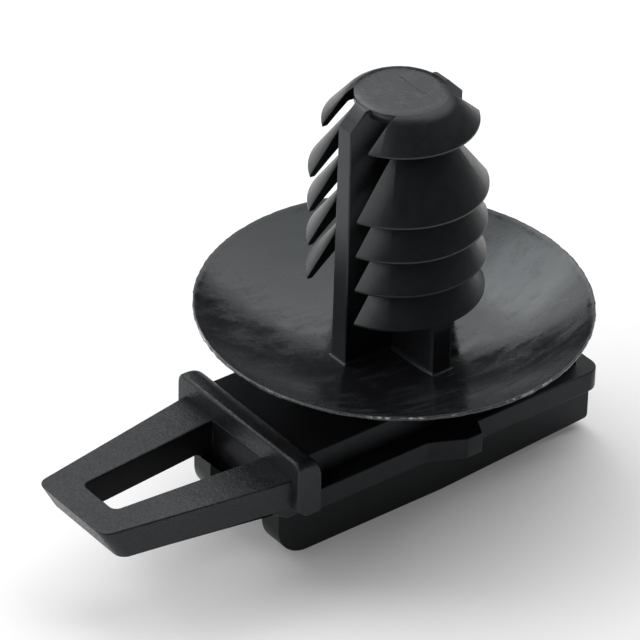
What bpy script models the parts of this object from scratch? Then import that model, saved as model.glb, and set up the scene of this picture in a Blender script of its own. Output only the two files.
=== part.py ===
"""Fir tree cable clip, moulded in one piece.

A barbed stud with half-round fins stands on a dished round flange. The flange sits on a rail
that slides into a socket: a block with two side flanges, two skids below, an end plate that
stops the slide, and a flat windowed tongue to pull or push it by.

The frame: Z runs up the stud, the tongue points to -X, and Z = 0 is the plane of the dish's rim,
where the flange meets the panel. All sizes are in metres.
"""

import math

import bmesh
import bpy
from mathutils import Matrix, Vector

MM = 0.001

# Stud: a cross-shaped core that carries fins on its two Y sides
FIN_RADIUS = 3.96 * MM
FIN_SLOPE = 1.43
FIN_INNER_SLOPE = 1.0
FIN_EDGE = 0.24 * MM
FIN_RIM_HEIGHT = 0.12 * MM
FIN_OVERHANG = 1.96 * MM
FIN_PITCH = 1.757 * MM
FINS_BELOW_TOP = 4
NEAR_FIN_GAP = 3.24 * MM
FAR_FIN_GAP = 2.40 * MM
FIN_CUT_OFFSET = 1.36 * MM
FIN_CUT_SPREAD = 0.085
TOP_FIN_INSET = 0.52 * MM
TOP_FIN_DROP = 1.42 * MM
FAR_TOP_FIN_SAG = 0.20 * MM
TOP_FIN_THICKNESS = 0.70 * MM
CAP_HEIGHT = 10.97 * MM
CAP_RADIUS = 2.5 * MM
CAP_THICKNESS = 0.75 * MM
CAP_EDGE = 0.50 * MM
CAP_SHOULDER_TURN = math.radians(45)
CAP_SHOULDER_SINK = 0.03 * MM
WEB_HALF_LENGTH = 3.07 * MM
WEB_FOOT_THICKNESS = 1.05 * MM
WEB_TOP_THICKNESS = 0.86 * MM
RIB_FOOT_INSET = 0.51 * MM
RIB_INSET = 1.31 * MM
RIB_TOP_INSET = 2.01 * MM
RIB_CAP_INSET = 0.55 * MM
RIB_THICKNESS = 1.0 * MM
FOOT_FILLET = 0.30 * MM

# Dished flange
DISH_RADIUS = 8.94 * MM
DISH_DEPTH = 1.95 * MM
DISH_FLAT_RADIUS = 1.5 * MM
DISH_THICKNESS = 0.85 * MM
RIM_THICKNESS = 0.18 * MM
RIM_LAND = 0.25 * MM
PEDESTAL_RADIUS = 3.2 * MM

# Rail body: block, side flanges with a lock tooth each, skids
BLOCK_HALF_WIDTH = 3.48 * MM
BLOCK_TOP = -3.22 * MM
BLOCK_REAR = 7.9 * MM
FLANGE_HALF_WIDTH = 4.40 * MM
FLANGE_TOP = -4.52 * MM
FLANGE_THICKNESS = 1.05 * MM
FLANGE_REAR = 8.62 * MM
FLANGE_CORNER = 0.7 * MM
TOOTH_START = -1.4 * MM
TOOTH_PEAK = 0.25 * MM
TOOTH_STEP = 1.05 * MM
TOOTH_STEP_LEAN = 0.40 * MM
TOOTH_HEIGHT = 0.80 * MM
SKID_OUTSIDE = 3.1 * MM
SKID_THICKNESS = 1.2 * MM
SKID_BOTTOM = -8.63 * MM
SKID_FRONT = -8.60 * MM
SKID_REAR = 9.05 * MM
SKID_NOSE_RADIUS = 2.2 * MM
SKID_CORNER = 0.6 * MM
SKID_TAIL_CHAMFER = 0.7 * MM
SKID_TAIL_LENGTH = 8.5 * MM
SKID_TAIL_RISE = 0.47 * MM

# End plate, across the front of the rail
PLATE_FRONT = -8.58 * MM
PLATE_THICKNESS = 1.22 * MM
PLATE_TOP = -2.79 * MM
PLATE_CORNER = 0.42 * MM
PLATE_OVERHANG = 0.05 * MM
PLATE_EDGE = 0.15 * MM
PLATE_ROLL_LENGTH = 0.85 * MM
PLATE_ROLL_DROP = 0.58 * MM
PLATE_FOOT_LENGTH = 0.45 * MM
PLATE_FOOT_LIFT = 0.40 * MM

# Tongue with its window
TONGUE_TOP = -3.83 * MM
TONGUE_THICKNESS = 1.52 * MM
TONGUE_TIP = -17.55 * MM
TONGUE_ROOT_HALF_WIDTH = 3.95 * MM
TONGUE_TIP_HALF_WIDTH = 2.43 * MM
TONGUE_TIP_CORNER = 0.35 * MM
TONGUE_TIP_LEAN = 0.85 * MM
WINDOW_TIP = -16.0 * MM
WINDOW_ROOT = -8.64 * MM
WINDOW_TIP_HALF_WIDTH = 1.14 * MM
WINDOW_ROOT_HALF_WIDTH = 1.75 * MM
WINDOW_CORNER = 0.35 * MM
GUSSET_LENGTH = 1.0 * MM
GUSSET_DROP = 0.65 * MM
GUSSET_HALF_WIDTH = 3.7 * MM

# Shared details
EDGE = 0.10 * MM
SINK = 0.25 * MM
ROUND_STEPS = 72
DISH_STEPS = 96
DISH_CURVE_STEPS = 8
CORNER_STEPS = 4
NOSE_STEPS = 8
SAME_POINT = 1e-7
CORNER_WALL_SHARE = 0.49
SHARP_ANGLE = math.radians(30)

UNDER_CAP = CAP_HEIGHT - CAP_THICKNESS / 2
TOP_FIN_RIM = CAP_HEIGHT - TOP_FIN_DROP
TOP_FIN_RADIUS = FIN_RADIUS - TOP_FIN_INSET
FIN_ROOT_RADIUS = FIN_RADIUS - FIN_OVERHANG
RIB_FOOT_REACH = FIN_RADIUS - RIB_FOOT_INSET
RIB_REACH = FIN_RADIUS - RIB_INSET
RIB_TOP_REACH = FIN_RADIUS - RIB_TOP_INSET
FLANGE_BOTTOM = FLANGE_TOP - FLANGE_THICKNESS
TONGUE_BOTTOM = TONGUE_TOP - TONGUE_THICKNESS


def object_from(bm, name):
    """Close the mesh up, face it outwards and put it in the scene."""
    bmesh.ops.remove_doubles(bm, verts=bm.verts, dist=SAME_POINT)
    bmesh.ops.recalc_face_normals(bm, faces=bm.faces)
    mesh = bpy.data.meshes.new(name)
    bm.to_mesh(mesh)
    bm.free()
    made = bpy.data.objects.new(name, mesh)
    bpy.context.scene.collection.objects.link(made)
    return made


def rounded(corners, steps=CORNER_STEPS):
    """Outline through corners given as (u, v, radius), each rounded by its radius."""
    outline = []
    count = len(corners)
    for index, (u, v, radius) in enumerate(corners):
        corner = Vector((u, v))
        if radius <= 0:
            outline.append(corner)
            continue
        before = Vector(corners[index - 1][:2]) - corner
        after = Vector(corners[(index + 1) % count][:2]) - corner
        half_angle = before.angle(after) / 2
        wall = CORNER_WALL_SHARE * min(before.length, after.length)
        reach = min(radius / math.tan(half_angle), wall)
        round_off = reach * math.tan(half_angle)
        middle = corner + (before.normalized() + after.normalized()).normalized() * (
            round_off / math.sin(half_angle))
        first = corner + before.normalized() * reach - middle
        turn = first.angle_signed(corner + after.normalized() * reach - middle)
        for step in range(steps + 1):
            outline.append(middle + Matrix.Rotation(-turn * step / steps, 2) @ first)
    return outline


def soften(bm, edges, radius, segments=2):
    bmesh.ops.bevel(bm, geom=edges, offset=radius, offset_type="OFFSET", segments=segments,
                    profile=0.5, affect="EDGES", clamp_overlap=True)


def loft(name, sections, edge=0.0):
    """Closed solid through rings of equal length, its two end rings softened by edge."""
    bm = bmesh.new()
    rings = [[bm.verts.new(point) for point in section] for section in sections]
    count = len(rings[0])
    for lower, upper in zip(rings, rings[1:]):
        for index in range(count):
            following = (index + 1) % count
            bm.faces.new((lower[index], lower[following], upper[following], upper[index]))
    ends = [bm.faces.new(rings[0]), bm.faces.new(rings[-1])]
    bmesh.ops.recalc_face_normals(bm, faces=bm.faces)
    if edge > 0:
        soften(bm, [each for face in ends for each in face.edges], edge)
    return object_from(bm, name)


def plan_prism(name, outline, low, high, edge=0.0):
    """Outline in X and Y, extruded up Z."""
    return loft(name, [[(x, y, z) for x, y in outline] for z in (low, high)], edge)


def side_prism(name, outline, left, right, edge=0.0):
    """Outline in X and Z, extruded along Y."""
    return loft(name, [[(x, y, z) for x, z in outline] for y in (left, right)], edge)


def turned(name, profile, steps):
    """Closed profile of (radius, z) spun once round Z."""
    bm = bmesh.new()
    ring = [bm.verts.new((radius, 0, z)) for radius, z in profile]
    edges = [bm.edges.new(pair) for pair in zip(ring, ring[1:] + ring[:1])]
    bmesh.ops.spin(bm, geom=ring + edges, cent=(0, 0, 0), axis=(0, 0, 1), angle=math.tau,
                   steps=steps, use_merge=True)
    return object_from(bm, name)


def turned_to_axis(name, profile, steps):
    """Open profile of (radius, z) that starts and ends on the axis, spun once round Z."""
    bm = bmesh.new()
    chain = [bm.verts.new((radius, 0, z)) for radius, z in profile]
    edges = [bm.edges.new(pair) for pair in zip(chain, chain[1:])]
    bmesh.ops.spin(bm, geom=chain + edges, cent=(0, 0, 0), axis=(0, 0, 1), angle=math.tau,
                   steps=steps, use_merge=True)
    return object_from(bm, name)


def combine(target, tool, operation):
    """Apply a Boolean of tool to target, and take the tool away."""
    modifier = target.modifiers.new("combine", "BOOLEAN")
    modifier.operation = operation
    modifier.solver = "EXACT"
    modifier.object = tool
    graph = bpy.context.evaluated_depsgraph_get()
    result = bpy.data.meshes.new_from_object(target.evaluated_get(graph))
    target.modifiers.clear()
    target.data = result
    bpy.data.objects.remove(tool)
    return target


def dish_floor(radius):
    """Height of the dish's upper face: flat at the middle, then one arc up to the rim."""
    run = DISH_RADIUS - RIM_LAND - DISH_FLAT_RADIUS
    arc_radius = (run ** 2 + DISH_DEPTH ** 2) / (2 * DISH_DEPTH)
    along = max(0.0, radius - DISH_FLAT_RADIUS)
    return -DISH_DEPTH + arc_radius - math.sqrt(arc_radius ** 2 - along ** 2)


def dish():
    inner_edge = DISH_RADIUS - RIM_LAND
    run = inner_edge - DISH_FLAT_RADIUS
    radii = [DISH_FLAT_RADIUS + run * step / DISH_CURVE_STEPS for step in range(DISH_CURVE_STEPS + 1)]
    upper = [(0.0, -DISH_DEPTH)] + [(radius, dish_floor(radius)) for radius in radii]
    rim = [(DISH_RADIUS, 0.0), (DISH_RADIUS, -RIM_THICKNESS)]
    lower = []
    for radius in reversed(radii):
        wall = DISH_THICKNESS + (RIM_THICKNESS - DISH_THICKNESS) * radius / DISH_RADIUS
        lower.append((radius, dish_floor(radius) - wall))
    lower.append((0.0, -DISH_DEPTH - DISH_THICKNESS))
    return turned_to_axis("dish", upper + rim + lower, DISH_STEPS)


def pedestal():
    """Short round foot between the dish and the block."""
    top = -DISH_DEPTH - SINK
    bottom = BLOCK_TOP - SINK
    profile = [(0.0, top), (PEDESTAL_RADIUS, top), (PEDESTAL_RADIUS, bottom), (0.0, bottom)]
    return turned_to_axis("pedestal", profile, ROUND_STEPS)


def foot_rows(floor):
    """Heights and flares of a fillet that spreads a blade's foot on the dish."""
    rows = [(floor - DISH_THICKNESS / 2, FOOT_FILLET)]
    for step in range(CORNER_STEPS + 1):
        turn = math.pi / 2 * step / CORNER_STEPS
        rows.append((floor + FOOT_FILLET * (1 - math.cos(turn)), FOOT_FILLET * (1 - math.sin(turn))))
    return rows


def cap_shoulder():
    """Radius and height of a point just inside the cap's rounded edge, where the slopes start."""
    reach = CAP_EDGE - CAP_SHOULDER_SINK
    return (CAP_RADIUS - CAP_EDGE + reach * math.sin(CAP_SHOULDER_TURN),
            CAP_HEIGHT - CAP_EDGE + reach * math.cos(CAP_SHOULDER_TURN))


def top_slope(radius):
    """Height of the slope from the cap's shoulder down to the top fin's rim."""
    start, height = cap_shoulder()
    fall = height - TOP_FIN_RIM - FIN_RIM_HEIGHT
    return height - fall * (radius - start) / (TOP_FIN_RADIUS - start)


def web():
    """Blade along X, drafted: its ends show as bare edges between the fins and slant in to the cap."""
    floor = dish_floor(WEB_HALF_LENGTH)
    shoulder_radius, shoulder_height = cap_shoulder()
    shoulder_length = math.sqrt(shoulder_radius ** 2 - (WEB_TOP_THICKNESS / 2) ** 2)
    rows = [(height, WEB_HALF_LENGTH, flare) for height, flare in foot_rows(floor)]
    rows += [(top_slope(WEB_HALF_LENGTH), WEB_HALF_LENGTH, 0.0), (shoulder_height, shoulder_length, 0.0)]
    rings = []
    for height, half_length, flare in rows:
        share = (height - floor) / (UNDER_CAP - floor)
        half = (WEB_FOOT_THICKNESS + (WEB_TOP_THICKNESS - WEB_FOOT_THICKNESS) * share) / 2 + flare
        end = half_length + flare
        rings.append([(-end, -half, height), (end, -half, height),
                      (end, half, height), (-end, half, height)])
    return loft("web", rings)


def fin_middle(radius, rim):
    """Height of the middle of a fin's wall at this radius."""
    top = rim + FIN_RIM_HEIGHT + FIN_SLOPE * (FIN_RADIUS - radius)
    return (top + rim + FIN_INNER_SLOPE * (FIN_RADIUS - FIN_EDGE - radius)) / 2


def rib(side, highest):
    """Half blade along Y that carries one side's fins, stepped in so that each fin covers its end."""
    lowest = highest - (FINS_BELOW_TOP - 1) * FIN_PITCH
    half = RIB_THICKNESS / 2
    rings = [(RIB_FOOT_REACH + flare, half + flare, height)
             for height, flare in foot_rows(dish_floor(RIB_FOOT_REACH))]
    for reach, rim in ((RIB_FOOT_REACH, lowest), (RIB_REACH, lowest),
                       (RIB_REACH, highest), (RIB_TOP_REACH, highest)):
        rings.append((reach, half, fin_middle(reach, rim)))
    rings.append((CAP_RADIUS - RIB_CAP_INSET, half, UNDER_CAP))
    return loft("rib", [[(-width, -side * SINK, height), (width, -side * SINK, height),
                         (width, side * reach, height), (-width, side * reach, height)]
                        for reach, width, height in rings])


def cap():
    side = CAP_HEIGHT - CAP_EDGE
    edge = [(CAP_RADIUS - CAP_EDGE * (1 - math.sin(math.pi / 2 * step / CORNER_STEPS)),
             side + CAP_EDGE * math.cos(math.pi / 2 * step / CORNER_STEPS))
            for step in range(CORNER_STEPS + 1)]
    bottom = CAP_HEIGHT - CAP_THICKNESS
    profile = [(0.0, CAP_HEIGHT)] + edge + [(CAP_RADIUS, bottom), (0.0, bottom)]
    return turned_to_axis("cap", profile, ROUND_STEPS)


def fin_profile(rim):
    """Section of one umbrella fin whose lowest edge is at height rim."""
    root = FIN_ROOT_RADIUS
    inner = FIN_RADIUS - FIN_EDGE
    return [(root, rim + FIN_RIM_HEIGHT + FIN_SLOPE * (FIN_RADIUS - root)),
            (FIN_RADIUS, rim + FIN_RIM_HEIGHT),
            (FIN_RADIUS, rim),
            (inner, rim),
            (root, rim + FIN_INNER_SLOPE * (inner - root))]


def top_fin_profile(rim):
    """Section of the fin that grows out of the cap's rounded edge down to height rim."""
    root = FIN_CUT_OFFSET - SINK
    inner = TOP_FIN_RADIUS - FIN_EDGE
    under_cap = CAP_HEIGHT - TOP_FIN_THICKNESS
    return [(root, CAP_HEIGHT - CAP_EDGE),
            (CAP_RADIUS - CAP_EDGE, CAP_HEIGHT - CAP_EDGE),
            cap_shoulder(),
            (TOP_FIN_RADIUS, rim + FIN_RIM_HEIGHT),
            (TOP_FIN_RADIUS, rim),
            (inner, rim),
            (inner - (under_cap - rim), under_cap),
            (root, under_cap)]


def fins(side, top_rim, highest):
    """One side's fins: whole umbrellas, cut back to the sector that faces side."""
    stack = turned("fins", top_fin_profile(top_rim), ROUND_STEPS)
    for index in range(FINS_BELOW_TOP):
        umbrella = turned("umbrella", fin_profile(highest - index * FIN_PITCH), ROUND_STEPS)
        stack = combine(stack, umbrella, "UNION")
    reach = 2 * FIN_RADIUS
    cut = FIN_CUT_OFFSET + FIN_CUT_SPREAD * reach
    outline = [(-reach, side * cut), (0, side * FIN_CUT_OFFSET), (reach, side * cut),
               (reach, side * reach), (-reach, side * reach)]
    sector = plan_prism("sector", outline, -CAP_HEIGHT, 2 * CAP_HEIGHT)
    return combine(stack, sector, "INTERSECT")


def block():
    front = PLATE_FRONT + PLATE_THICKNESS / 2
    outline = [(front, -BLOCK_HALF_WIDTH), (BLOCK_REAR, -BLOCK_HALF_WIDTH),
               (BLOCK_REAR, BLOCK_HALF_WIDTH), (front, BLOCK_HALF_WIDTH)]
    return plan_prism("block", outline, FLANGE_TOP - FLANGE_THICKNESS / 2, BLOCK_TOP, EDGE)


def side_flanges():
    """Slab whose long edges are the rail's flanges, with a ramped lock tooth on each."""
    front = PLATE_FRONT + PLATE_THICKNESS / 2
    out = FLANGE_HALF_WIDTH
    peak = out + TOOTH_HEIGHT
    half = [(front, out, 0), (TOOTH_START, out, 0), (TOOTH_PEAK, peak, 0),
            (TOOTH_STEP, peak, 0), (TOOTH_STEP + TOOTH_STEP_LEAN, out, 0),
            (FLANGE_REAR, out, FLANGE_CORNER)]
    corners = half + [(x, -y, radius) for x, y, radius in reversed(half)]
    return plan_prism("side_flanges", rounded(corners), FLANGE_BOTTOM, FLANGE_TOP, EDGE)


def skid(side):
    """One skid: a long bar with a rounded nose, set in from the flange's edge."""
    root = FLANGE_BOTTOM + SINK
    outline = rounded([(SKID_FRONT, SKID_BOTTOM, SKID_NOSE_RADIUS),
                       (SKID_REAR - SKID_TAIL_LENGTH, SKID_BOTTOM, 0),
                       (SKID_REAR, SKID_BOTTOM + SKID_TAIL_RISE, 0),
                       (SKID_REAR, FLANGE_BOTTOM - SKID_TAIL_CHAMFER, 0),
                       (SKID_REAR - SKID_TAIL_CHAMFER - SINK, root, 0),
                       (SKID_FRONT, root, 0)], NOSE_STEPS)
    outside = side * SKID_OUTSIDE
    inside = side * (SKID_OUTSIDE - SKID_THICKNESS)
    bar = side_prism("skid", outline, min(outside, inside), max(outside, inside))
    bm = bmesh.new()
    bm.from_mesh(bar.data)
    tail_edges = [edge for edge in bm.edges
                  if all(abs(vert.co.x - SKID_REAR) < SAME_POINT and abs(vert.co.y - outside) < SAME_POINT
                         for vert in edge.verts)]
    soften(bm, tail_edges, SKID_CORNER, CORNER_STEPS)
    bm.to_mesh(bar.data)
    bm.free()
    return bar


def end_plate():
    """Plate across the front of the rail: rounded shoulders, a top that rolls off to the rear, a cut foot."""
    rear = PLATE_FRONT + PLATE_THICKNESS
    rows = []
    for step in range(CORNER_STEPS + 1):
        turn = math.pi / 2 * step / CORNER_STEPS
        inset = PLATE_EDGE * (1 - math.sin(turn))
        rows.append((PLATE_FRONT + PLATE_EDGE * (1 - math.cos(turn)), inset, inset))
    for step in range(CORNER_STEPS + 1):
        turn = math.pi / 2 * step / CORNER_STEPS
        roll = rear - PLATE_ROLL_LENGTH * (1 - math.sin(turn))
        rows.append((roll, PLATE_ROLL_DROP * (1 - math.cos(turn)), 0.0))
    rings = []
    for x, drop, inset in rows:
        out = FLANGE_HALF_WIDTH + PLATE_OVERHANG - inset
        lift = PLATE_FOOT_LIFT * max(0.0, 1 - (x - PLATE_FRONT) / PLATE_FOOT_LENGTH)
        bottom = FLANGE_BOTTOM - PLATE_OVERHANG + lift
        corners = [(-out, bottom, 0), (out, bottom, 0),
                   (out, PLATE_TOP - drop, PLATE_CORNER), (-out, PLATE_TOP - drop, PLATE_CORNER)]
        rings.append([(x, y, z) for y, z in rounded(corners)])
    return loft("end_plate", rings)


def tongue():
    """Tapering strip with a leaning tip; a gusset thickens its root, and a window is cut in it."""
    root = PLATE_FRONT + PLATE_THICKNESS / 2
    widen = (TONGUE_ROOT_HALF_WIDTH - TONGUE_TIP_HALF_WIDTH) / (PLATE_FRONT - TONGUE_TIP)
    root_width = TONGUE_ROOT_HALF_WIDTH + widen * (root - PLATE_FRONT)
    rings = []
    for z, lean in ((TONGUE_BOTTOM, TONGUE_TIP_LEAN), (TONGUE_TOP, 0.0)):
        tip = TONGUE_TIP + lean
        tip_width = TONGUE_TIP_HALF_WIDTH + widen * lean
        corners = [(tip, -tip_width, TONGUE_TIP_CORNER), (root, -root_width, 0),
                   (root, root_width, 0), (tip, tip_width, TONGUE_TIP_CORNER)]
        rings.append([(x, y, z) for x, y in rounded(corners)])
    strip = loft("tongue", rings, EDGE)
    combine(strip, gusset(root), "UNION")
    opening = rounded([(WINDOW_TIP, -WINDOW_TIP_HALF_WIDTH, WINDOW_CORNER),
                       (WINDOW_ROOT, -WINDOW_ROOT_HALF_WIDTH, 0),
                       (WINDOW_ROOT, WINDOW_ROOT_HALF_WIDTH, 0),
                       (WINDOW_TIP, WINDOW_TIP_HALF_WIDTH, WINDOW_CORNER)])
    cutter = plan_prism("window", opening, TONGUE_BOTTOM - 2 * GUSSET_DROP, TONGUE_TOP + GUSSET_DROP)
    return combine(strip, cutter, "DIFFERENCE")


def gusset(root):
    """Wedge under the tongue's root, which runs down onto the skids' noses."""
    low = TONGUE_BOTTOM - GUSSET_DROP
    outline = [(PLATE_FRONT - GUSSET_LENGTH, TONGUE_BOTTOM + SINK),
               (PLATE_FRONT - GUSSET_LENGTH, TONGUE_BOTTOM), (PLATE_FRONT, low),
               (root, low), (root, TONGUE_BOTTOM + SINK)]
    return side_prism("gusset", outline, -GUSSET_HALF_WIDTH, GUSSET_HALF_WIDTH)


def nylon():
    """Carbon-black nylon with a satin skin."""
    material = bpy.data.materials.new("black_nylon")
    material.use_nodes = True
    shader = material.node_tree.nodes["Principled BSDF"]
    shader.inputs["Base Color"].default_value = (0.018, 0.018, 0.020, 1.0)
    shader.inputs["Roughness"].default_value = 0.45
    shader.inputs["Metallic"].default_value = 0.0
    return material


def clip():
    body = dish()
    pieces = [pedestal(), web(), cap()]
    for side, top_rim, gap in ((-1, TOP_FIN_RIM, NEAR_FIN_GAP),
                               (1, TOP_FIN_RIM - FAR_TOP_FIN_SAG, FAR_FIN_GAP)):
        pieces += [rib(side, top_rim - gap), fins(side, top_rim, top_rim - gap)]
    pieces += [block(), side_flanges(), skid(-1), skid(1), end_plate(), tongue()]
    for piece in pieces:
        body = combine(body, piece, "UNION")
    body.name = "fir_tree_clip"
    body.data.name = "fir_tree_clip"
    body.data.materials.clear()
    body.data.materials.append(nylon())
    body.data.shade_smooth()
    body.data.set_sharp_from_angle(angle=SHARP_ANGLE)


for old in list(bpy.data.objects):
    bpy.data.objects.remove(old)
clip()
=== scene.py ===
import math

import bmesh
import bpy
from mathutils import Matrix, Vector, noise


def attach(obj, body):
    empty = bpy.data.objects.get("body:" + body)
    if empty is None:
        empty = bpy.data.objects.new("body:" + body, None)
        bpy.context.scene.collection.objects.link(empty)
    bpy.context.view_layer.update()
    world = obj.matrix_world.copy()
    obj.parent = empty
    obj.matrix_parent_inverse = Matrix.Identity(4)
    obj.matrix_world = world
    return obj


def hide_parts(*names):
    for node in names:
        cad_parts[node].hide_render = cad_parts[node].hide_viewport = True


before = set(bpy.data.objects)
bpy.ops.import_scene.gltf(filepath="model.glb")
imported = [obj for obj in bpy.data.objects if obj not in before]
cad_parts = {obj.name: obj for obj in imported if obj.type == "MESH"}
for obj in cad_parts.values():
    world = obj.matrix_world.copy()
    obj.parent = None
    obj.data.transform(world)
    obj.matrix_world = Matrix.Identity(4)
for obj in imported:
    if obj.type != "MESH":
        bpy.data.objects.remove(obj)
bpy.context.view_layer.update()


# The photograph's view. A long lens looks down on the clip from the front left, with the tongue
# towards the viewer, so that the cap, the dish and the top of the tongue all show.
MM = 0.001
VIEW_PLACE = (-0.11890564, -0.14511814, 0.12583407)
VIEW_AZIMUTH = math.radians(-38.952)
VIEW_ELEVATION = math.radians(34.094)
VIEW_ROLL = math.radians(1.858)
VIEW_SENSOR = 36.0
VIEW_LENS = 287.95
VIEW_SHIFT = (-0.07098, 0.003764)
NEAREST_SEEN = 1 * MM

lens = bpy.data.cameras.new("photo_view")
lens.sensor_width = VIEW_SENSOR
lens.lens = VIEW_LENS
lens.shift_x, lens.shift_y = VIEW_SHIFT
lens.clip_start = NEAREST_SEEN
viewer = bpy.data.objects.new("photo_view", lens)
turned_to = (Matrix.Rotation(VIEW_AZIMUTH, 4, "Z")
             @ Matrix.Rotation(math.pi / 2 - VIEW_ELEVATION, 4, "X")
             @ Matrix.Rotation(VIEW_ROLL, 4, "Z"))
viewer.matrix_world = Matrix.Translation(VIEW_PLACE) @ turned_to
bpy.context.scene.collection.objects.link(viewer)
bpy.context.scene.camera = viewer
bpy.context.scene.view_settings.view_transform = "Standard"


# The dished flange. A shallow saucer of carbon-black nylon, moulded with the rest, that seals the
# panel hole. It thins out to a sharp rim, where the two halves of the mould meet and leave a
# ragged line of flash. On the rim, a grey line and pale flecks are a painted highlight and painted
# glints.
DISH_RADIUS = 8.94 * MM
DISH_DEPTH = 1.95 * MM
DISH_FLAT_RADIUS = 1.5 * MM
DISH_THICKNESS = 0.85 * MM
RIM_THICKNESS = 0.18 * MM
RIM_LAND = 0.09 * MM
RIM_SECTION = ((0.05 * MM, 0.005 * MM), (0.015 * MM, -0.01 * MM), (0.0, -0.045 * MM),
               (0.0, 0.05 * MM - RIM_THICKNESS), (0.04 * MM, -RIM_THICKNESS))
RIM_RAGGED = 0.07 * MM
RAGGED_ZONE = 0.15 * MM
RAGGED_SCALE = 2600
RAGGED_FRACTAL = (0.8, 2.0, 4)
# Heights of the rim's band that is painted with a highlight line and glints.
RIM_GLINT_TOP = -0.04 * MM
RIM_GLINT_FOOT = -0.10 * MM
RUBBED_WIDTH = 0.06 * MM
GRAIN_HEIGHT = 0.02 * MM
NYLON_INDEX = 1.5
NOISE_RANGE = (0.3, 0.7)
NOISE_MIDDLE = (0.35, 0.65)
RUBBED_TURN = (0.01, 0.12)
RUBBED_PATCHES = (0.35, 0.62)
BLOTCH_SHARE = 0.6
SPECK_SHARE = 0.4
SHEEN_CHANGE = 0.07
STREAK_SHEEN = 0.08
MARK_SHEEN = 0.20
MERGE = 1e-7
DISH_STEPS = 384
DISH_RINGS = 40
CLOUD_SCALE = 450.0
BLOTCH_SCALE = 1700.0
SPECK_SCALE = 9000.0
STREAK_SCALE = 26.0
STREAK_CHANGE = 160.0
MARK_SCALE = 1500.0
MARK_STRETCH = (0.22, 1, 1)
MARK_PATCHES = (0.42, 0.66)
MARK_CLOUDS = (0.30, 0.60)
# Size and threshold of the pale painted glints on the rim.
GLINT_SCALE = 1500.0
GLINT_RANGE = (0.93, 1.02)
BAND_SCALE = 210.0
BAND_SHARE = 0.8
NYLON_BLACK = (0.0070, 0.0071, 0.0079, 1.0)
NYLON_BLOOM = (0.0110, 0.0114, 0.0134, 1.0)
NYLON_SCUFFED = (0.0240, 0.0250, 0.0270, 1.0)
NYLON_WORN = (0.021, 0.022, 0.024, 1.0)
# Painted highlight line on the dish's rim, and its pale painted glints.
RIM_PAINTED_HIGHLIGHT = (0.11, 0.11, 0.11, 1.0)
PAINTED_RIM_GLINT = (0.55, 0.55, 0.55, 1.0)
# Painted reflection colour: a blue sky's tint put into every reflection of the nylon.
PAINTED_SKY_TINT = (0.90, 0.97, 1.0, 1.0)


class Wire:
    """A shader socket that adds, subtracts and multiplies like a number."""

    def __init__(self, tree, socket=None):
        self.tree = tree
        self.socket = socket

    def node(self, kind, settings, sockets, output=0):
        """New node: its settings first, then the values of its sockets or the wires into them."""
        made = self.tree.nodes.new(kind)
        for name, value in settings.items():
            setattr(made, name, value)
        for name, value in sockets.items():
            if isinstance(value, Wire):
                self.tree.links.new(value.socket, made.inputs[name])
            else:
                made.inputs[name].default_value = value
        return Wire(self.tree, made.outputs[output]) if made.outputs else None

    def math(self, operation, first, second=0.0):
        return self.node("ShaderNodeMath", {"operation": operation}, {0: first, 1: second})

    def __add__(self, other):
        return self.math("ADD", self, other)

    __radd__ = __add__

    def __sub__(self, other):
        return self.math("SUBTRACT", self, other)

    def __rsub__(self, other):
        return self.math("SUBTRACT", other, self)

    def __mul__(self, other):
        return self.math("MULTIPLY", self, other)

    __rmul__ = __mul__

    def vector(self, operation, other=(0, 0, 0), output="Vector"):
        return self.node("ShaderNodeVectorMath", {"operation": operation},
                         {0: self, 1: other}, output)

    def texture(self, scale, detail=3.0, roughness=0.6, distortion=0.0):
        """Noise of about 0 to 1 at the place that this gives."""
        return self.node("ShaderNodeTexNoise", {},
                         {"Vector": self, "Scale": scale, "Detail": detail,
                          "Roughness": roughness, "Distortion": distortion})

    def ramp(self, low, high):
        """0 at low, 1 at high, straight in between and held outside."""
        return self.node("ShaderNodeMapRange", {"clamp": True},
                         {"Value": self, "From Min": low, "From Max": high})

    def blend(self, first, second):
        """Colour first where this is 0, second where it is 1."""
        return self.node("ShaderNodeMix", {"data_type": "RGBA"},
                         {0: self, 6: first, 7: second}, 2)


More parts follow.
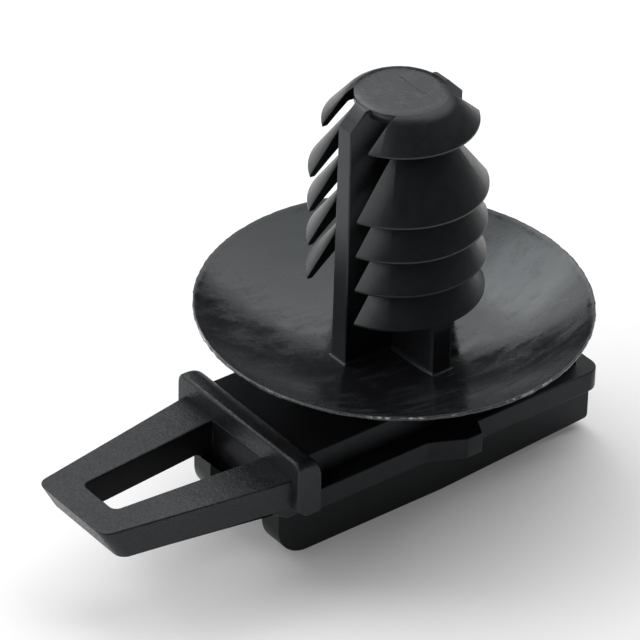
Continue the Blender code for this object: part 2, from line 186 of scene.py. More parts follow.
def nylon(name, roughness, grain, gloss=0.5, mottle=0.06, wear_and_glints=None):
    """Black nylon: mottled skin, fine grain and rubbed edges, then one surface's own marks, on the
    dish with a painted highlight and glints on the rim.
    """
    material = bpy.data.materials.new(name)
    material.use_nodes = True
    material.node_tree.nodes.clear()
    start = Wire(material.node_tree)
    place = start.node("ShaderNodeNewGeometry", {}, {}, "Position")
    facing = start.node("ShaderNodeNewGeometry", {}, {}, "Normal")
    cloud = place.texture(CLOUD_SCALE, roughness=0.55)
    blotch = place.texture(BLOTCH_SCALE)
    speck = place.texture(SPECK_SCALE, detail=2.0)
    softened = start.node("ShaderNodeBevel", {"samples": 6}, {"Radius": RUBBED_WIDTH})
    match = softened.vector("DOT_PRODUCT", facing, "Value")
    worn = (1.0 - match).ramp(*RUBBED_TURN) * blotch.ramp(*RUBBED_PATCHES)
    bloom = (blotch * BLOTCH_SHARE + speck * SPECK_SHARE).ramp(*NOISE_MIDDLE)
    skin = bloom.blend(NYLON_BLACK, NYLON_BLOOM)
    colour = worn.blend(skin, NYLON_WORN)
    sheen = (cloud.ramp(*NOISE_RANGE) + blotch.ramp(*NOISE_RANGE) - 1.0) * SHEEN_CHANGE
    sheen = sheen + roughness + (speck.ramp(*NOISE_RANGE) - 0.5) * mottle
    height = speck + blotch
    if wear_and_glints:
        colour, sheen, height = wear_and_glints(place, cloud, speck, colour, sheen, height)
    bump = start.node("ShaderNodeBump", {},
                      {"Strength": grain, "Distance": GRAIN_HEIGHT, "Height": height})
    # The specular tint is a painted reflection colour of a blue sky.
    shader = start.node("ShaderNodeBsdfPrincipled", {},
                        {"Base Color": colour, "Roughness": sheen, "Normal": bump,
                         "IOR": NYLON_INDEX, "Specular IOR Level": gloss,
                         "Specular Tint": PAINTED_SKY_TINT})
    start.node("ShaderNodeOutputMaterial", {}, {"Surface": shader})
    return material


def saucer_wear_and_glints(place, cloud, speck, colour, sheen, height):
    """Faint streaks around the stud, marks drawn along the rail, and a painted highlight with
    painted glints on the rim.
    """
    spread = place.vector("MULTIPLY", (1, 1, 0))
    reach = spread.vector("LENGTH", output="Value")
    change = spread.vector("MULTIPLY", (STREAK_CHANGE, STREAK_CHANGE, STREAK_CHANGE))
    streaks = spread.vector("NORMALIZE").vector("ADD", change).texture(STREAK_SCALE, detail=4.0)
    marks = place.vector("MULTIPLY", MARK_STRETCH).texture(MARK_SCALE, 4.0, 0.65)
    sheen = sheen + (streaks.ramp(*NOISE_RANGE) - 0.5) * STREAK_SHEEN
    sheen = sheen + (marks.ramp(*NOISE_MIDDLE) - 0.5) * MARK_SHEEN
    drawn = marks.ramp(*MARK_PATCHES) * cloud.ramp(*MARK_CLOUDS)
    colour = drawn.blend(colour, NYLON_SCUFFED)
    bits = place.texture(GLINT_SCALE, 4.0, 0.75)
    bands = place.texture(BAND_SCALE, 1.0, 0.5)
    upper = place.node("ShaderNodeSeparateXYZ", {}, {"Vector": place}, "Z")
    edge = upper.ramp(RIM_GLINT_FOOT, RIM_GLINT_TOP) * reach.ramp(
        DISH_RADIUS - 1.1 * RIM_RAGGED, DISH_RADIUS - 0.5 * RIM_RAGGED)
    painted_glints = (bits + bands * BAND_SHARE).ramp(*GLINT_RANGE)
    # Painted highlight and glints: a grey line along the rim, with pale flecks on it.
    colour = (edge * speck.ramp(*NOISE_MIDDLE)).blend(colour, RIM_PAINTED_HIGHLIGHT)
    colour = (edge * painted_glints).blend(colour, PAINTED_RIM_GLINT)
    return colour, sheen, height


def piece(bm, name, finish):
    """Close a mesh up and make it a piece of the clip."""
    bmesh.ops.remove_doubles(bm, verts=bm.verts, dist=MERGE)
    bmesh.ops.recalc_face_normals(bm, faces=bm.faces)
    mesh = bpy.data.meshes.new(name)
    bm.to_mesh(mesh)
    bm.free()
    mesh.materials.append(finish)
    mesh.shade_smooth()
    made = bpy.data.objects.new(name, mesh)
    bpy.context.scene.collection.objects.link(made)
    made.modifiers.new("even_normals", "WEIGHTED_NORMAL")
    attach(made, "root")
    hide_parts("fir_tree_clip")
    return made


def turned(profile, steps):
    """Profile of (radius, z) spun once round the stud's axis."""
    bm = bmesh.new()
    chain = [bm.verts.new((radius, 0, z)) for radius, z in profile]
    edges = [bm.edges.new(pair) for pair in zip(chain, chain[1:])]
    if profile[0][0] > 0:
        edges.append(bm.edges.new((chain[-1], chain[0])))
    bmesh.ops.spin(bm, geom=chain + edges, cent=(0, 0, 0), axis=(0, 0, 1), angle=math.tau,
                   steps=steps, use_merge=True)
    bmesh.ops.remove_doubles(bm, verts=bm.verts, dist=MERGE)
    return bm


def dish_floor(radius):
    """Height of the dish's upper face: flat at the middle, then one arc up to the rim."""
    run = DISH_RADIUS - RIM_LAND - DISH_FLAT_RADIUS
    arc_radius = (run ** 2 + DISH_DEPTH ** 2) / (2 * DISH_DEPTH)
    along = max(0.0, radius - DISH_FLAT_RADIUS)
    return -DISH_DEPTH + arc_radius - math.sqrt(arc_radius ** 2 - along ** 2)


polished = nylon("polished_nylon", roughness=0.21, grain=0.16, wear_and_glints=saucer_wear_and_glints)
inner = DISH_RADIUS - RIM_LAND
radii = [DISH_FLAT_RADIUS + (inner - DISH_FLAT_RADIUS) * step / DISH_RINGS
         for step in range(DISH_RINGS + 1)]
profile = [(0.0, -DISH_DEPTH)] + [(radius, dish_floor(radius)) for radius in radii]
profile += [(DISH_RADIUS - inset, height) for inset, height in RIM_SECTION]
for radius in reversed(radii):
    wall = DISH_THICKNESS + (RIM_THICKNESS - DISH_THICKNESS) * radius / DISH_RADIUS
    profile.append((radius, dish_floor(radius) - wall))
profile.append((0.0, -DISH_DEPTH - DISH_THICKNESS))
bm = turned(profile, DISH_STEPS)
for vert in bm.verts:
    radius = math.hypot(vert.co.x, vert.co.y)
    if radius > DISH_RADIUS - RAGGED_ZONE:
        ragged = noise.fractal(vert.co * RAGGED_SCALE, *RAGGED_FRACTAL) * 0.5 + 0.5
        inset = RIM_RAGGED * min(1.0, max(0.0, ragged))
        vert.co.x *= (radius - inset) / radius
        vert.co.y *= (radius - inset) / radius
piece(bm, "dish", polished)


# The pedestal. A short round foot of the same nylon, moulded between the saucer and the rail's
# block and mostly hidden from above.
PEDESTAL_RADIUS = 3.2 * MM
BLOCK_TOP = -3.22 * MM
SINK = 0.25 * MM
PEDESTAL_STEPS = 144

satin = nylon("satin_nylon", roughness=0.36, grain=0.25)
foot = [(0.0, -DISH_DEPTH - SINK), (PEDESTAL_RADIUS, -DISH_DEPTH - SINK),
        (PEDESTAL_RADIUS, BLOCK_TOP - SINK), (0.0, BLOCK_TOP - SINK)]
piece(turned(foot, PEDESTAL_STEPS), "pedestal", satin)


# The core of the stud, web and rib. Two crossed blades of the same nylon moulding. The web's ends
# run down bare between the two stacks of fins; the rib carries the fins and steps in behind them.
# Both spread in a small fillet where they stand on the dish.
CAP_HEIGHT = 10.97 * MM
CAP_THICKNESS = 0.50 * MM
UNDER_CAP = CAP_HEIGHT - CAP_THICKNESS / 2
SLOPE_START = (2.332 * MM, 10.802 * MM)
WEB_HALF_LENGTH = 3.07 * MM
WEB_FOOT_THICKNESS = 1.05 * MM
WEB_TOP_THICKNESS = 0.86 * MM
WEB_SHOULDER = ((2.315 * MM, 10.82 * MM), (2.24 * MM, 10.875 * MM), (2.16 * MM, 10.90 * MM))
RIB_REACHES = (3.45 * MM, 2.65 * MM, 1.95 * MM)
RIB_CAP_REACH = 1.95 * MM
RIB_THICKNESS = 1.0 * MM
FOOT_FILLET = 0.18 * MM
FOOT_SINK = 0.03 * MM
SIDE_PARTS = 14
SHORTEST_SIDE = 0.2 * MM
CORNER_STEPS = 6
CORNER_SHARE = 0.49
FINE_STEPS = 3
CORE_EDGE = 0.06 * MM
FIN_RADIUS = 3.96 * MM
FIN_SLOPE = 1.43
FIN_INNER_SLOPE = 1.0
FIN_EDGE = 0.24 * MM
FIN_RIM_HEIGHT = 0.12 * MM
FIN_PITCH = 1.757 * MM
FINS_BELOW_TOP = 4
TOP_FIN_RADIUS = FIN_RADIUS - 0.52 * MM
TOP_FIN_RIM = CAP_HEIGHT - 1.42 * MM
FAR_TOP_FIN_RIM = TOP_FIN_RIM - 0.20 * MM
NEAR_FIN_HEIGHT = TOP_FIN_RIM - 3.24 * MM
FAR_FIN_HEIGHT = FAR_TOP_FIN_RIM - 2.40 * MM


def rounded(corners, steps=CORNER_STEPS):
    """Outline through corners given as (u, v, radius), each rounded by its radius."""
    outline = []
    for index, (u, v, radius) in enumerate(corners):
        corner = Vector((u, v))
        if radius <= 0:
            outline.append(corner)
            continue
        before = Vector(corners[index - 1][:2]) - corner
        after = Vector(corners[(index + 1) % len(corners)][:2]) - corner
        half_angle = before.angle(after) / 2
        reach = min(radius / math.tan(half_angle), CORNER_SHARE * min(before.length, after.length))
        middle = corner + (before.normalized() + after.normalized()).normalized() * (
            reach / math.cos(half_angle))
        first = corner + before.normalized() * reach - middle
        turn = first.angle_signed(corner + after.normalized() * reach - middle)
        for step in range(steps + 1):
            outline.append(middle + Matrix.Rotation(-turn * step / steps, 2) @ first)
    return outline


def loft(sections):
    """Closed solid through rings of equal length."""
    bm = bmesh.new()
    rings = [[bm.verts.new(point) for point in section] for section in sections]
    count = len(rings[0])
    for lower, upper in zip(rings, rings[1:]):
        for index in range(count):
            following = (index + 1) % count
            bm.faces.new((lower[index], lower[following], upper[following], upper[index]))
    bm.faces.new(rings[0])
    bm.faces.new(rings[-1])
    bmesh.ops.remove_doubles(bm, verts=bm.verts, dist=MERGE)
    bmesh.ops.recalc_face_normals(bm, faces=bm.faces)
    return bm


def filled(outline):
    """Outline with points added along its straight sides."""
    points = []
    for first, last in zip(outline, outline[1:] + outline[:1]):
        count = SIDE_PARTS if (last - first).length > SHORTEST_SIDE else 1
        points += [first.lerp(last, step / count) for step in range(count)]
    return points


def drape(bm, floor):
    """Bend a blade's foot so that its fillet runs out on the curved dish."""
    for vert in bm.verts:
        share = min(1.0, max(0.0, 1 - (vert.co.z - floor) / FOOT_FILLET))
        vert.co.z += share * (dish_floor(math.hypot(vert.co.x, vert.co.y)) - floor - FOOT_SINK)
    return bm


def foot_rows(floor):
    """Heights and flares of a fillet that spreads a blade's foot on the dish."""
    rows = [(floor - DISH_THICKNESS / 3, 2 * FOOT_FILLET)]
    for step in range(CORNER_STEPS + 1):
        turn = math.pi / 2 * step / CORNER_STEPS
        rows.append((floor + FOOT_FILLET * (1 - math.cos(turn)),
                     FOOT_FILLET * (1 - math.sin(turn))))
    return rows


def fin_middle(radius, rim):
    """Height of the middle of a fin's wall at this radius."""
    top = rim + FIN_RIM_HEIGHT + FIN_SLOPE * (FIN_RADIUS - radius)
    return (top + rim + FIN_INNER_SLOPE * (FIN_RADIUS - FIN_EDGE - radius)) / 2


def top_slope(radius):
    """Height of the slope from the cap's shoulder down to the near top fin's rim."""
    fall = SLOPE_START[1] - TOP_FIN_RIM - FIN_RIM_HEIGHT
    return SLOPE_START[1] - fall * (radius - SLOPE_START[0]) / (TOP_FIN_RADIUS - SLOPE_START[0])


web_floor = dish_floor(WEB_HALF_LENGTH)
rows = [(height, WEB_HALF_LENGTH, flare) for height, flare in foot_rows(web_floor)]
rows.append((top_slope(WEB_HALF_LENGTH), WEB_HALF_LENGTH, 0.0))
rows += [(height, length, 0.0) for length, height in WEB_SHOULDER]
rings = []
for height, half_length, flare in rows:
    share = (height - web_floor) / (UNDER_CAP - web_floor)
    half = (WEB_FOOT_THICKNESS + (WEB_TOP_THICKNESS - WEB_FOOT_THICKNESS) * share) / 2 + flare
    end = half_length + flare
    corners = [(-end, -half, CORE_EDGE), (end, -half, CORE_EDGE),
               (end, half, CORE_EDGE), (-end, half, CORE_EDGE)]
    rings.append([(x, y, height) for x, y in filled(rounded(corners, FINE_STEPS))])
piece(drape(loft(rings), web_floor), "web", satin)

for side, highest, name in ((-1, NEAR_FIN_HEIGHT, "near_rib"),
                            (1, FAR_FIN_HEIGHT, "far_rib")):
    lowest = highest - (FINS_BELOW_TOP - 1) * FIN_PITCH
    half = RIB_THICKNESS / 2
    steps = [(RIB_REACHES[0] + flare, half + flare, height)
             for height, flare in foot_rows(dish_floor(RIB_REACHES[0]))]
    for reach, rim in ((RIB_REACHES[0], lowest), (RIB_REACHES[1], lowest),
                       (RIB_REACHES[1], highest), (RIB_REACHES[2], highest)):
        steps.append((reach, half, fin_middle(reach, rim)))
    steps.append((RIB_CAP_REACH, half, UNDER_CAP))
    rings = []
    for reach, width, height in steps:
        corners = [(-width, -side * SINK, 0), (width, -side * SINK, 0),
                   (width, side * reach, CORE_EDGE), (-width, side * reach, CORE_EDGE)]
        rings.append([(x, y, height) for x, y in filled(rounded(corners, FINE_STEPS))])
    piece(drape(loft(rings), dish_floor(RIB_REACHES[0])), name, satin)


# The fins. Thin half umbrellas of nylon, moulded with the stud, that fold in as it is pushed
# through the hole and spread out behind the panel. Each is a piece of a cone, cut back on a slant,
# with a small upright rim.
CAP_BEND = 1.2 * MM
CAP_DISC_TURN = math.radians(20)
CAP_SINK = 0.004 * MM
FIN_OVERHANG = 1.96 * MM
FIN_CUT_OFFSET = 1.36 * MM
FIN_CUT_SPREAD = 0.085
FIN_CUT_EDGE = 0.03 * MM
FIN_CUT_SHARPEST = math.radians(40)
FIN_CUT_STEPS = 2
FIN_LIP = 0.05 * MM
TOP_FIN_THICKNESS = 0.70 * MM
TOP_FIN_HOLLOW = 0.1 * MM
FIN_STEPS = 216


def soften(bm, radius, sharpest=math.radians(30), segments=FINE_STEPS):
    """Round every edge that turns more than the angle given."""
    edges = [edge for edge in bm.edges
             if len(edge.link_faces) == 2 and edge.calc_face_angle() > sharpest]
    bmesh.ops.bevel(bm, geom=edges, offset=radius, offset_type="OFFSET", segments=segments,
                    profile=0.5, affect="EDGES", clamp_overlap=True)
    return bm


def sector(bm, side):
    """Cut a turned fin back to the part that faces side, and round the cut's edges."""
    for slant in (-1, 1):
        normal = Vector((slant * FIN_CUT_SPREAD, side, 0)).normalized()
        geometry = bm.verts[:] + bm.edges[:] + bm.faces[:]
        cut = bmesh.ops.bisect_plane(bm, geom=geometry, dist=MERGE / 10, plane_no=normal,
                                     plane_co=(0, side * FIN_CUT_OFFSET, 0), clear_inner=True)
        edges = [each for each in cut["geom_cut"] if isinstance(each, bmesh.types.BMEdge)]
        bmesh.ops.edgenet_fill(bm, edges=edges)
    bmesh.ops.remove_doubles(bm, verts=bm.verts, dist=MERGE)
    bmesh.ops.recalc_face_normals(bm, faces=bm.faces)
    return soften(bm, FIN_CUT_EDGE, FIN_CUT_SHARPEST, FIN_CUT_STEPS)


def umbrella(rim):
    """Section of one fin whose lowest edge is at height rim."""
    root = FIN_RADIUS - FIN_OVERHANG
    within = FIN_RADIUS - FIN_EDGE
    return rounded([(root, rim + FIN_RIM_HEIGHT + FIN_SLOPE * (FIN_RADIUS - root), 0),
                    (FIN_RADIUS, rim + FIN_RIM_HEIGHT, FIN_LIP), (FIN_RADIUS, rim, FIN_LIP),
                    (within, rim, FIN_LIP), (root, rim + FIN_INNER_SLOPE * (within - root), 0)],
                   FINE_STEPS)


def cap_bend(rim, sink, first):
    """Arc from the turn first on that bends the cap's flat into the slope to a top fin's rim."""
    run = TOP_FIN_RADIUS - SLOPE_START[0]
    angle = math.atan2(SLOPE_START[1] - rim - FIN_RIM_HEIGHT, run)
    level = SLOPE_START[0] * math.sin(angle) + SLOPE_START[1] * math.cos(angle)
    middle = (level - CAP_BEND - (CAP_HEIGHT - CAP_BEND) * math.cos(angle)) / math.sin(angle)
    steps = 2 * CORNER_STEPS
    turns = [first + (angle - first) * step / steps for step in range(steps + 1)]
    return [(middle + (CAP_BEND - sink) * math.sin(turn),
             CAP_HEIGHT - CAP_BEND + (CAP_BEND - sink) * math.cos(turn)) for turn in turns]


def crown(rim):
    """Section of the fin that grows out of the cap's rounded edge down to height rim."""
    root = FIN_CUT_OFFSET - SINK
    within = TOP_FIN_RADIUS - FIN_EDGE
    under = CAP_HEIGHT - TOP_FIN_THICKNESS
    shoulder = cap_bend(rim, CAP_SINK, CAP_DISC_TURN / 2)
    corners = [(root, shoulder[0][1], 0)]
    corners += [(radius, height, 0) for radius, height in shoulder]
    corners += [(TOP_FIN_RADIUS, rim + FIN_RIM_HEIGHT, FIN_LIP), (TOP_FIN_RADIUS, rim, FIN_LIP),
                (within, rim, FIN_LIP), (within - (under - rim), under, TOP_FIN_HOLLOW),
                (root, under, 0)]
    return rounded(corners, FINE_STEPS)


for side, top_rim, highest, name in ((-1, TOP_FIN_RIM, NEAR_FIN_HEIGHT, "near"),
                                     (1, FAR_TOP_FIN_RIM, FAR_FIN_HEIGHT, "far")):
    piece(sector(turned(crown(top_rim), FIN_STEPS), side), name + "_top_fin", satin)
    for index in range(FINS_BELOW_TOP):
        section = umbrella(highest - index * FIN_PITCH)
        piece(sector(turned(section, FIN_STEPS), side), f"{name}_fin_{index + 1}", satin)


# The cap. The flat round end of the stud, of the same nylon and moulded with it. It is handled as
# the clip is pressed in, so it is a little scuffed and shows a faint scratch. Its edge bends
# softly into the top fins.
CAP_FLAT_RINGS = 6
CAP_STEPS = 192
CAP_LIP = 0.006 * MM
RUB_SCALE = 800.0
RUB_SWIRL = 1.2
RUB_PATCHES = (0.45, 0.70)
SCRATCH_X = 0.64 * MM
SCRATCH_WIDTH = 0.05 * MM
SCRATCH_WANDER = 0.3 * MM
SCRATCH_LENGTH = 1.1 * MM
SCRATCH_BREAKS = (0.3, 0.5)
SCRATCH_CORE = 0.3
SCRATCH_FADE = 0.8
SCRATCH_DEPTH = 1.5
SCRATCH_SHEEN = 0.2
RUB_SHEEN = 0.22


def cap_wear(place, cloud, speck, colour, sheen, height):
    """Rubbed patches and one scratch that wanders along Y."""
    rub = place.texture(RUB_SCALE, detail=4.0, distortion=RUB_SWIRL)
    across = place.node("ShaderNodeSeparateXYZ", {}, {"Vector": place}, "X") - SCRATCH_X
    along = place.node("ShaderNodeSeparateXYZ", {}, {"Vector": place}, "Y")
    off = place.math("ABSOLUTE", across + (rub - 0.5) * SCRATCH_WANDER)
    scratch = off.ramp(SCRATCH_WIDTH, SCRATCH_CORE * SCRATCH_WIDTH) * rub.ramp(*SCRATCH_BREAKS)
    for end in (-SCRATCH_LENGTH, SCRATCH_LENGTH):
        scratch = scratch * along.ramp(end, SCRATCH_FADE * end)
    colour = rub.ramp(*RUB_PATCHES).blend(colour, NYLON_SCUFFED)
    sheen = sheen + (rub.ramp(*NOISE_MIDDLE) - 0.5) * RUB_SHEEN + scratch * SCRATCH_SHEEN
    return colour, sheen, height - scratch * SCRATCH_DEPTH


scuffed = nylon("scuffed_nylon", roughness=0.30, grain=0.3, wear_and_glints=cap_wear)
bend = cap_bend(TOP_FIN_RIM, 0.0, 0.0)
flat = bend[0][0]
bend = [(radius, height) for radius, height in bend
        if radius < flat + CAP_BEND * math.sin(CAP_DISC_TURN)]
last, low = bend[-1]
cap_outline = [(flat * step / CAP_FLAT_RINGS, CAP_HEIGHT) for step in range(CAP_FLAT_RINGS)] + bend
cap_outline += [(last + CAP_LIP, low - CAP_LIP / 3), (last + 2 * CAP_LIP, low - CAP_LIP),
                (last + 2 * CAP_LIP, CAP_HEIGHT - CAP_THICKNESS), (0.0, CAP_HEIGHT - CAP_THICKNESS)]
piece(turned(cap_outline, CAP_STEPS), "cap", scuffed)


# The rail's block and side flanges. A solid nylon bar with a thin flange along each side, moulded
# with the stud, which slides into the socket of a cable holder. On each flange a ramp ends in a
# step, the tooth that snaps in behind the socket's edge.
BLOCK_HALF_WIDTH = 3.48 * MM
BLOCK_REAR = 7.9 * MM
FLANGE_HALF_WIDTH = 4.40 * MM
FLANGE_TOP = -4.52 * MM
FLANGE_THICKNESS = 1.05 * MM
FLANGE_BOTTOM = FLANGE_TOP - FLANGE_THICKNESS
FLANGE_REAR = 8.62 * MM
FLANGE_CORNER = 0.7 * MM
TOOTH_START = -1.4 * MM
TOOTH_PEAK = 0.25 * MM
TOOTH_STEP = 1.05 * MM
TOOTH_STEP_LEAN = 0.40 * MM
TOOTH_HEIGHT = 0.80 * MM
TOOTH_FOOT_BEND = 0.5 * MM
TOOTH_PEAK_BEND = 0.12 * MM
TOOTH_STEP_BEND = 0.06 * MM
PLATE_FRONT = -8.58 * MM
PLATE_THICKNESS = 1.22 * MM
RAIL_EDGE = 0.10 * MM

# Painted shade: this copy of the nylon has its gloss turned down so that the rail's sides facing
# the viewer stay dark.
dull_shaded = nylon("dull_shaded_nylon", roughness=0.38, grain=0.25, gloss=0.22)
front = PLATE_FRONT + PLATE_THICKNESS / 2
outline = [(front, -BLOCK_HALF_WIDTH), (BLOCK_REAR, -BLOCK_HALF_WIDTH),
           (BLOCK_REAR, BLOCK_HALF_WIDTH), (front, BLOCK_HALF_WIDTH)]
bm = loft([[(x, y, z) for x, y in outline]
           for z in (FLANGE_TOP - FLANGE_THICKNESS / 2, BLOCK_TOP)])
piece(soften(bm, RAIL_EDGE), "block", dull_shaded)

peak = FLANGE_HALF_WIDTH + TOOTH_HEIGHT
edge_line = [(front, FLANGE_HALF_WIDTH, 0), (TOOTH_START, FLANGE_HALF_WIDTH, TOOTH_FOOT_BEND),
             (TOOTH_PEAK, peak, TOOTH_PEAK_BEND), (TOOTH_STEP, peak, TOOTH_STEP_BEND),
             (TOOTH_STEP + TOOTH_STEP_LEAN, FLANGE_HALF_WIDTH, TOOTH_STEP_BEND),
             (FLANGE_REAR, FLANGE_HALF_WIDTH, FLANGE_CORNER)]
outline = rounded(edge_line + [(x, -y, radius) for x, y, radius in reversed(edge_line)])
bm = loft([[(x, y, z) for x, y in outline] for z in (FLANGE_BOTTOM, FLANGE_TOP)])
piece(soften(bm, RAIL_EDGE), "side_flanges", dull_shaded)


# The skids. Two nylon bars moulded under the rail, which guide it in its socket and which the
# clip stands on. They have rounded noses and chamfered tails that rise a little.
SKID_OUTSIDE = 3.1 * MM
SKID_THICKNESS = 1.2 * MM
SKID_BOTTOM = -8.63 * MM
SKID_FRONT = -8.60 * MM
SKID_REAR = 9.05 * MM
SKID_NOSE_RADIUS = 2.2 * MM
SKID_CORNER = 0.6 * MM
SKID_TAIL_CHAMFER = 0.7 * MM
SKID_TAIL_LENGTH = 8.5 * MM
SKID_TAIL_RISE = 0.47 * MM
SKID_TAIL_BEND = 2 * MM
SKID_HEEL_BEND = 0.2 * MM
SKID_CHAMFER_BEND = 0.1 * MM
SKID_EDGE = 0.07 * MM
SKID_STEPS = 12
TAIL_ZONE = 0.05 * MM

root = FLANGE_BOTTOM + SINK
outline = rounded([(SKID_FRONT, SKID_BOTTOM, SKID_NOSE_RADIUS),
                   (SKID_REAR - SKID_TAIL_LENGTH, SKID_BOTTOM, SKID_TAIL_BEND),
                   (SKID_REAR, SKID_BOTTOM + SKID_TAIL_RISE, SKID_HEEL_BEND),
                   (SKID_REAR, FLANGE_BOTTOM - SKID_TAIL_CHAMFER, SKID_CHAMFER_BEND),
                   (SKID_REAR - SKID_TAIL_CHAMFER - SINK, root, 0),
                   (SKID_FRONT, root, 0)], SKID_STEPS)
for side, name in ((-1, "near_skid"), (1, "far_skid")):
    outside = side * SKID_OUTSIDE
    inside = side * (SKID_OUTSIDE - SKID_THICKNESS)
    bm = loft([[(x, y, z) for x, z in outline] for y in (inside, outside)])
    tail = [edge for edge in bm.edges
            if all(vert.co.x > SKID_REAR - TAIL_ZONE and abs(vert.co.y - outside) < MERGE
                   for vert in edge.verts)]
    bmesh.ops.bevel(bm, geom=tail, offset=SKID_CORNER, offset_type="OFFSET", segments=CORNER_STEPS,
                    profile=0.5, affect="EDGES", clamp_overlap=True)
    # The skids take the same low-gloss nylon, painted shade on their sides.
    piece(soften(bm, SKID_EDGE), name, dull_shaded)


# The end plate. A nylon plate, moulded across the front of the rail, that stops the slide. Its top
# rolls off to the rear and its shoulders are round; the mould left its front face and the tongue a
# little grainier than the rest.
PLATE_TOP = -2.79 * MM
PLATE_CORNER = 0.42 * MM
PLATE_OVERHANG = 0.05 * MM
PLATE_FOOT_BEND = 0.05 * MM
PLATE_EDGE = 0.15 * MM
PLATE_ROLL_LENGTH = 0.85 * MM
PLATE_ROLL_DROP = 0.58 * MM
PLATE_FOOT_LENGTH = 0.45 * MM
PLATE_FOOT_LIFT = 0.40 * MM

grained = nylon("grained_nylon", roughness=0.42, grain=1.0, gloss=0.40, mottle=0.30)
rear = PLATE_FRONT + PLATE_THICKNESS
rows = []
for step in range(CORNER_STEPS + 1):
    turn = math.pi / 2 * step / CORNER_STEPS
    inset = PLATE_EDGE * (1 - math.sin(turn))
    rows.append((PLATE_FRONT + PLATE_EDGE * (1 - math.cos(turn)), inset, inset))
for step in range(2 * CORNER_STEPS + 1):
    turn = math.pi / 4 * step / CORNER_STEPS
    rows.append((rear - PLATE_ROLL_LENGTH * (1 - math.sin(turn)),
                 PLATE_ROLL_DROP * (1 - math.cos(turn)), 0.0))
rings = []
for x, drop, inset in rows:
    out = FLANGE_HALF_WIDTH + PLATE_OVERHANG - inset
    lift = PLATE_FOOT_LIFT * max(0.0, 1 - (x - PLATE_FRONT) / PLATE_FOOT_LENGTH)
    bottom = FLANGE_BOTTOM - PLATE_OVERHANG + lift
    top = PLATE_TOP - drop
    corners = [(-out, bottom, PLATE_FOOT_BEND), (out, bottom, PLATE_FOOT_BEND),
               (out, top, PLATE_CORNER), (-out, top, PLATE_CORNER)]
    rings.append([(x, y, z) for y, z in rounded(corners)])
piece(loft(rings), "end_plate", grained)


# The tongue. A flat tapering strip of the same nylon to pull or push the clip by, with a leaning
# tip. A core pin in the mould left its long window and the window's smoother walls, whose finish
# also has its gloss turned right down as painted shade. A wedge under its root runs down onto
# the skids' noses.
TONGUE_TOP = -3.83 * MM
TONGUE_THICKNESS = 1.52 * MM
TONGUE_BOTTOM = TONGUE_TOP - TONGUE_THICKNESS
TONGUE_TIP = -17.54 * MM
TONGUE_ROOT_HALF_WIDTH = 3.95 * MM
TONGUE_TIP_HALF_WIDTH = 2.43 * MM
TONGUE_TIP_CORNER = 0.55 * MM
TONGUE_TIP_LEAN = 0.85 * MM
WINDOW_TIP = -16.0 * MM
WINDOW_ROOT = -8.60 * MM
WINDOW_TIP_HALF_WIDTH = 1.14 * MM
WINDOW_ROOT_HALF_WIDTH = 1.75 * MM
WINDOW_CORNER = 0.35 * MM
GUSSET_LENGTH = 1.0 * MM
GUSSET_DROP = 0.65 * MM
GUSSET_HALF_WIDTH = 3.7 * MM
TONGUE_EDGE = 0.09 * MM
WALL_SLACK = 0.01 * MM
WALL_LEAN = 0.3


def combine(target, tool, operation):
    """Apply a Boolean of the mesh tool to the mesh target."""
    objects = []
    for bm in (target, tool):
        mesh = bpy.data.meshes.new("part")
        bm.to_mesh(mesh)
        bm.free()
        objects.append(bpy.data.objects.new("part", mesh))
        bpy.context.scene.collection.objects.link(objects[-1])
    modifier = objects[0].modifiers.new("combine", "BOOLEAN")
    modifier.operation = operation
    modifier.solver = "EXACT"
    modifier.object = objects[1]
    graph = bpy.context.evaluated_depsgraph_get()
    result = bmesh.new()
    result.from_mesh(bpy.data.meshes.new_from_object(objects[0].evaluated_get(graph)))
    for used in objects:
        bpy.data.objects.remove(used)
    return result


root = PLATE_FRONT + PLATE_THICKNESS / 2
widen = (TONGUE_ROOT_HALF_WIDTH - TONGUE_TIP_HALF_WIDTH) / (PLATE_FRONT - TONGUE_TIP)
root_width = TONGUE_ROOT_HALF_WIDTH + widen * (root - PLATE_FRONT)
rings = []
for z, lean in ((TONGUE_BOTTOM, TONGUE_TIP_LEAN), (TONGUE_TOP, 0.0)):
    tip = TONGUE_TIP + lean
    tip_width = TONGUE_TIP_HALF_WIDTH + widen * lean
    corners = [(tip, -tip_width, TONGUE_TIP_CORNER), (root, -root_width, 0),
               (root, root_width, 0), (tip, tip_width, TONGUE_TIP_CORNER)]
    rings.append([(x, y, z) for x, y in rounded(corners)])
strip = loft(rings)
low = TONGUE_BOTTOM - GUSSET_DROP
wedge = [(PLATE_FRONT - GUSSET_LENGTH, TONGUE_BOTTOM + SINK),
         (PLATE_FRONT - GUSSET_LENGTH, TONGUE_BOTTOM),
         (PLATE_FRONT, low), (root, low), (root, TONGUE_BOTTOM + SINK)]
gusset = loft([[(x, y, z) for x, z in wedge]
               for y in (-GUSSET_HALF_WIDTH, GUSSET_HALF_WIDTH)])
opening = rounded([(WINDOW_TIP, -WINDOW_TIP_HALF_WIDTH, WINDOW_CORNER),
                   (WINDOW_ROOT, -WINDOW_ROOT_HALF_WIDTH, 0),
                   (WINDOW_ROOT, WINDOW_ROOT_HALF_WIDTH, 0),
                   (WINDOW_TIP, WINDOW_TIP_HALF_WIDTH, WINDOW_CORNER)])
cutter = loft([[(x, y, z) for x, y in opening]
               for z in (TONGUE_BOTTOM - 2 * GUSSET_DROP, TONGUE_TOP + GUSSET_DROP)])
bm = combine(combine(strip, gusset, "UNION"), cutter, "DIFFERENCE")
bm = soften(bm, TONGUE_EDGE)
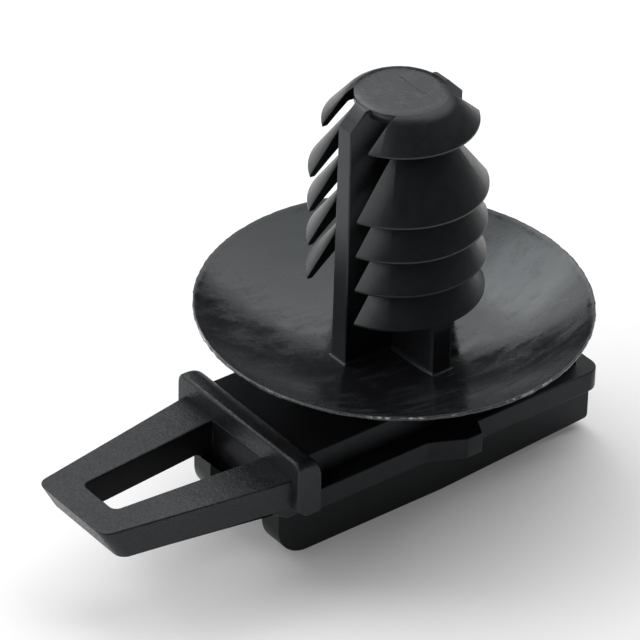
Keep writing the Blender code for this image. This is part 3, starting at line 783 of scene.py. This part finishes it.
# The window's walls get the second finish, whose turned-down gloss is painted shade.
for face in bm.faces:
    middle = face.calc_center_median()
    within = (middle.x > WINDOW_TIP - WALL_SLACK
              and abs(middle.y) < WINDOW_ROOT_HALF_WIDTH + WALL_SLACK)
    if within and abs(face.normal.z) < WALL_LEAN:
        face.material_index = 1
tongue = piece(bm, "tongue", grained)
# Painted shade: a smoother copy of the nylon with almost no gloss, so that the window's walls stay
# dark.
smooth_shaded_walls = nylon("core_pin_shaded_nylon", roughness=0.34, grain=0.2, gloss=0.08)
tongue.data.materials.append(smooth_shaded_walls)


# The table and the light. The clip stands on a plain white table. A wide soft box above and
# behind it on the right, with a small bright one beside it, lights the faces that look up and
# back. A third stands on the left, and the sides that face the viewer stay dark.
TABLE_WHITE = (0.95, 0.95, 0.95, 1.0)
TABLE_LIFT = (0.10, 0.10, 0.10, 1.0)
NO_LIGHT = (0.0, 0.0, 0.0, 1.0)
TABLE_HALF_SIZE = 2.0
TABLE_PARTS = 8
PAPER_ROUGHNESS = 0.9
ROOM_LEVEL = 0.10

bm = bmesh.new()
bmesh.ops.create_grid(bm, x_segments=TABLE_PARTS, y_segments=TABLE_PARTS, size=TABLE_HALF_SIZE)
bmesh.ops.translate(bm, verts=bm.verts, vec=(0, 0, SKID_BOTTOM))
mesh = bpy.data.meshes.new("table")
bm.to_mesh(mesh)
bm.free()
table = bpy.data.objects.new("table", mesh)
paper = bpy.data.materials.new("white_paper")
paper.use_nodes = True
paper.node_tree.nodes.clear()
start = Wire(paper.node_tree)
seen = sum(start.node("ShaderNodeLightPath", {}, {}, ray)
           for ray in ("Is Camera Ray", "Is Glossy Ray", "Is Transmission Ray")).ramp(0.0, 1.0)
sheet = start.node("ShaderNodeBsdfPrincipled", {},
                   {"Base Color": TABLE_WHITE, "Roughness": PAPER_ROUGHNESS,
                    "Specular IOR Level": 0.0,
                    "Emission Color": seen.blend(NO_LIGHT, TABLE_LIFT),
                    "Emission Strength": 1.0})
start.node("ShaderNodeOutputMaterial", {}, {"Surface": sheet})
mesh.materials.append(paper)
bpy.context.scene.collection.objects.link(table)


def soft_box(name, azimuth, elevation, distance, width, height, level, roll=0.0):
    """Lamp as bright as level that looks at the clip; azimuth 0 is at +Y and 90 at +X."""
    turn = math.radians(azimuth)
    rise = math.radians(elevation)
    lamp = bpy.data.lights.new(name, "AREA")
    lamp.shape = "RECTANGLE"
    lamp.size = width
    lamp.size_y = height
    lamp.energy = math.pi * width * height * level
    made = bpy.data.objects.new(name, lamp)
    place = distance * Vector((math.sin(turn) * math.cos(rise), math.cos(turn) * math.cos(rise),
                               math.sin(rise)))
    made.matrix_world = (Matrix.Translation(place) @ Matrix.Rotation(math.pi - turn, 4, "Z")
                         @ Matrix.Rotation(math.pi / 2 - rise, 4, "X")
                         @ Matrix.Rotation(math.radians(roll), 4, "Z"))
    bpy.context.scene.collection.objects.link(made)


soft_box("key_box", azimuth=4, elevation=47, distance=0.45, width=0.2, height=0.2, level=1.9)
soft_box("top_box", azimuth=35, elevation=58, distance=0.5, width=1.1, height=0.56, level=1.75,
         roll=-10)
soft_box("left_box", azimuth=-62, elevation=31, distance=0.5, width=0.8, height=0.46, level=1.7)

world = bpy.data.worlds.new("studio")
world.use_nodes = True
world.node_tree.nodes.clear()
start = Wire(world.node_tree)
room = start.node("ShaderNodeBackground", {},
                  {"Color": (1.0, 1.0, 1.0, 1.0), "Strength": ROOM_LEVEL})
start.node("ShaderNodeOutputWorld", {}, {"Surface": room})
bpy.context.scene.world = world
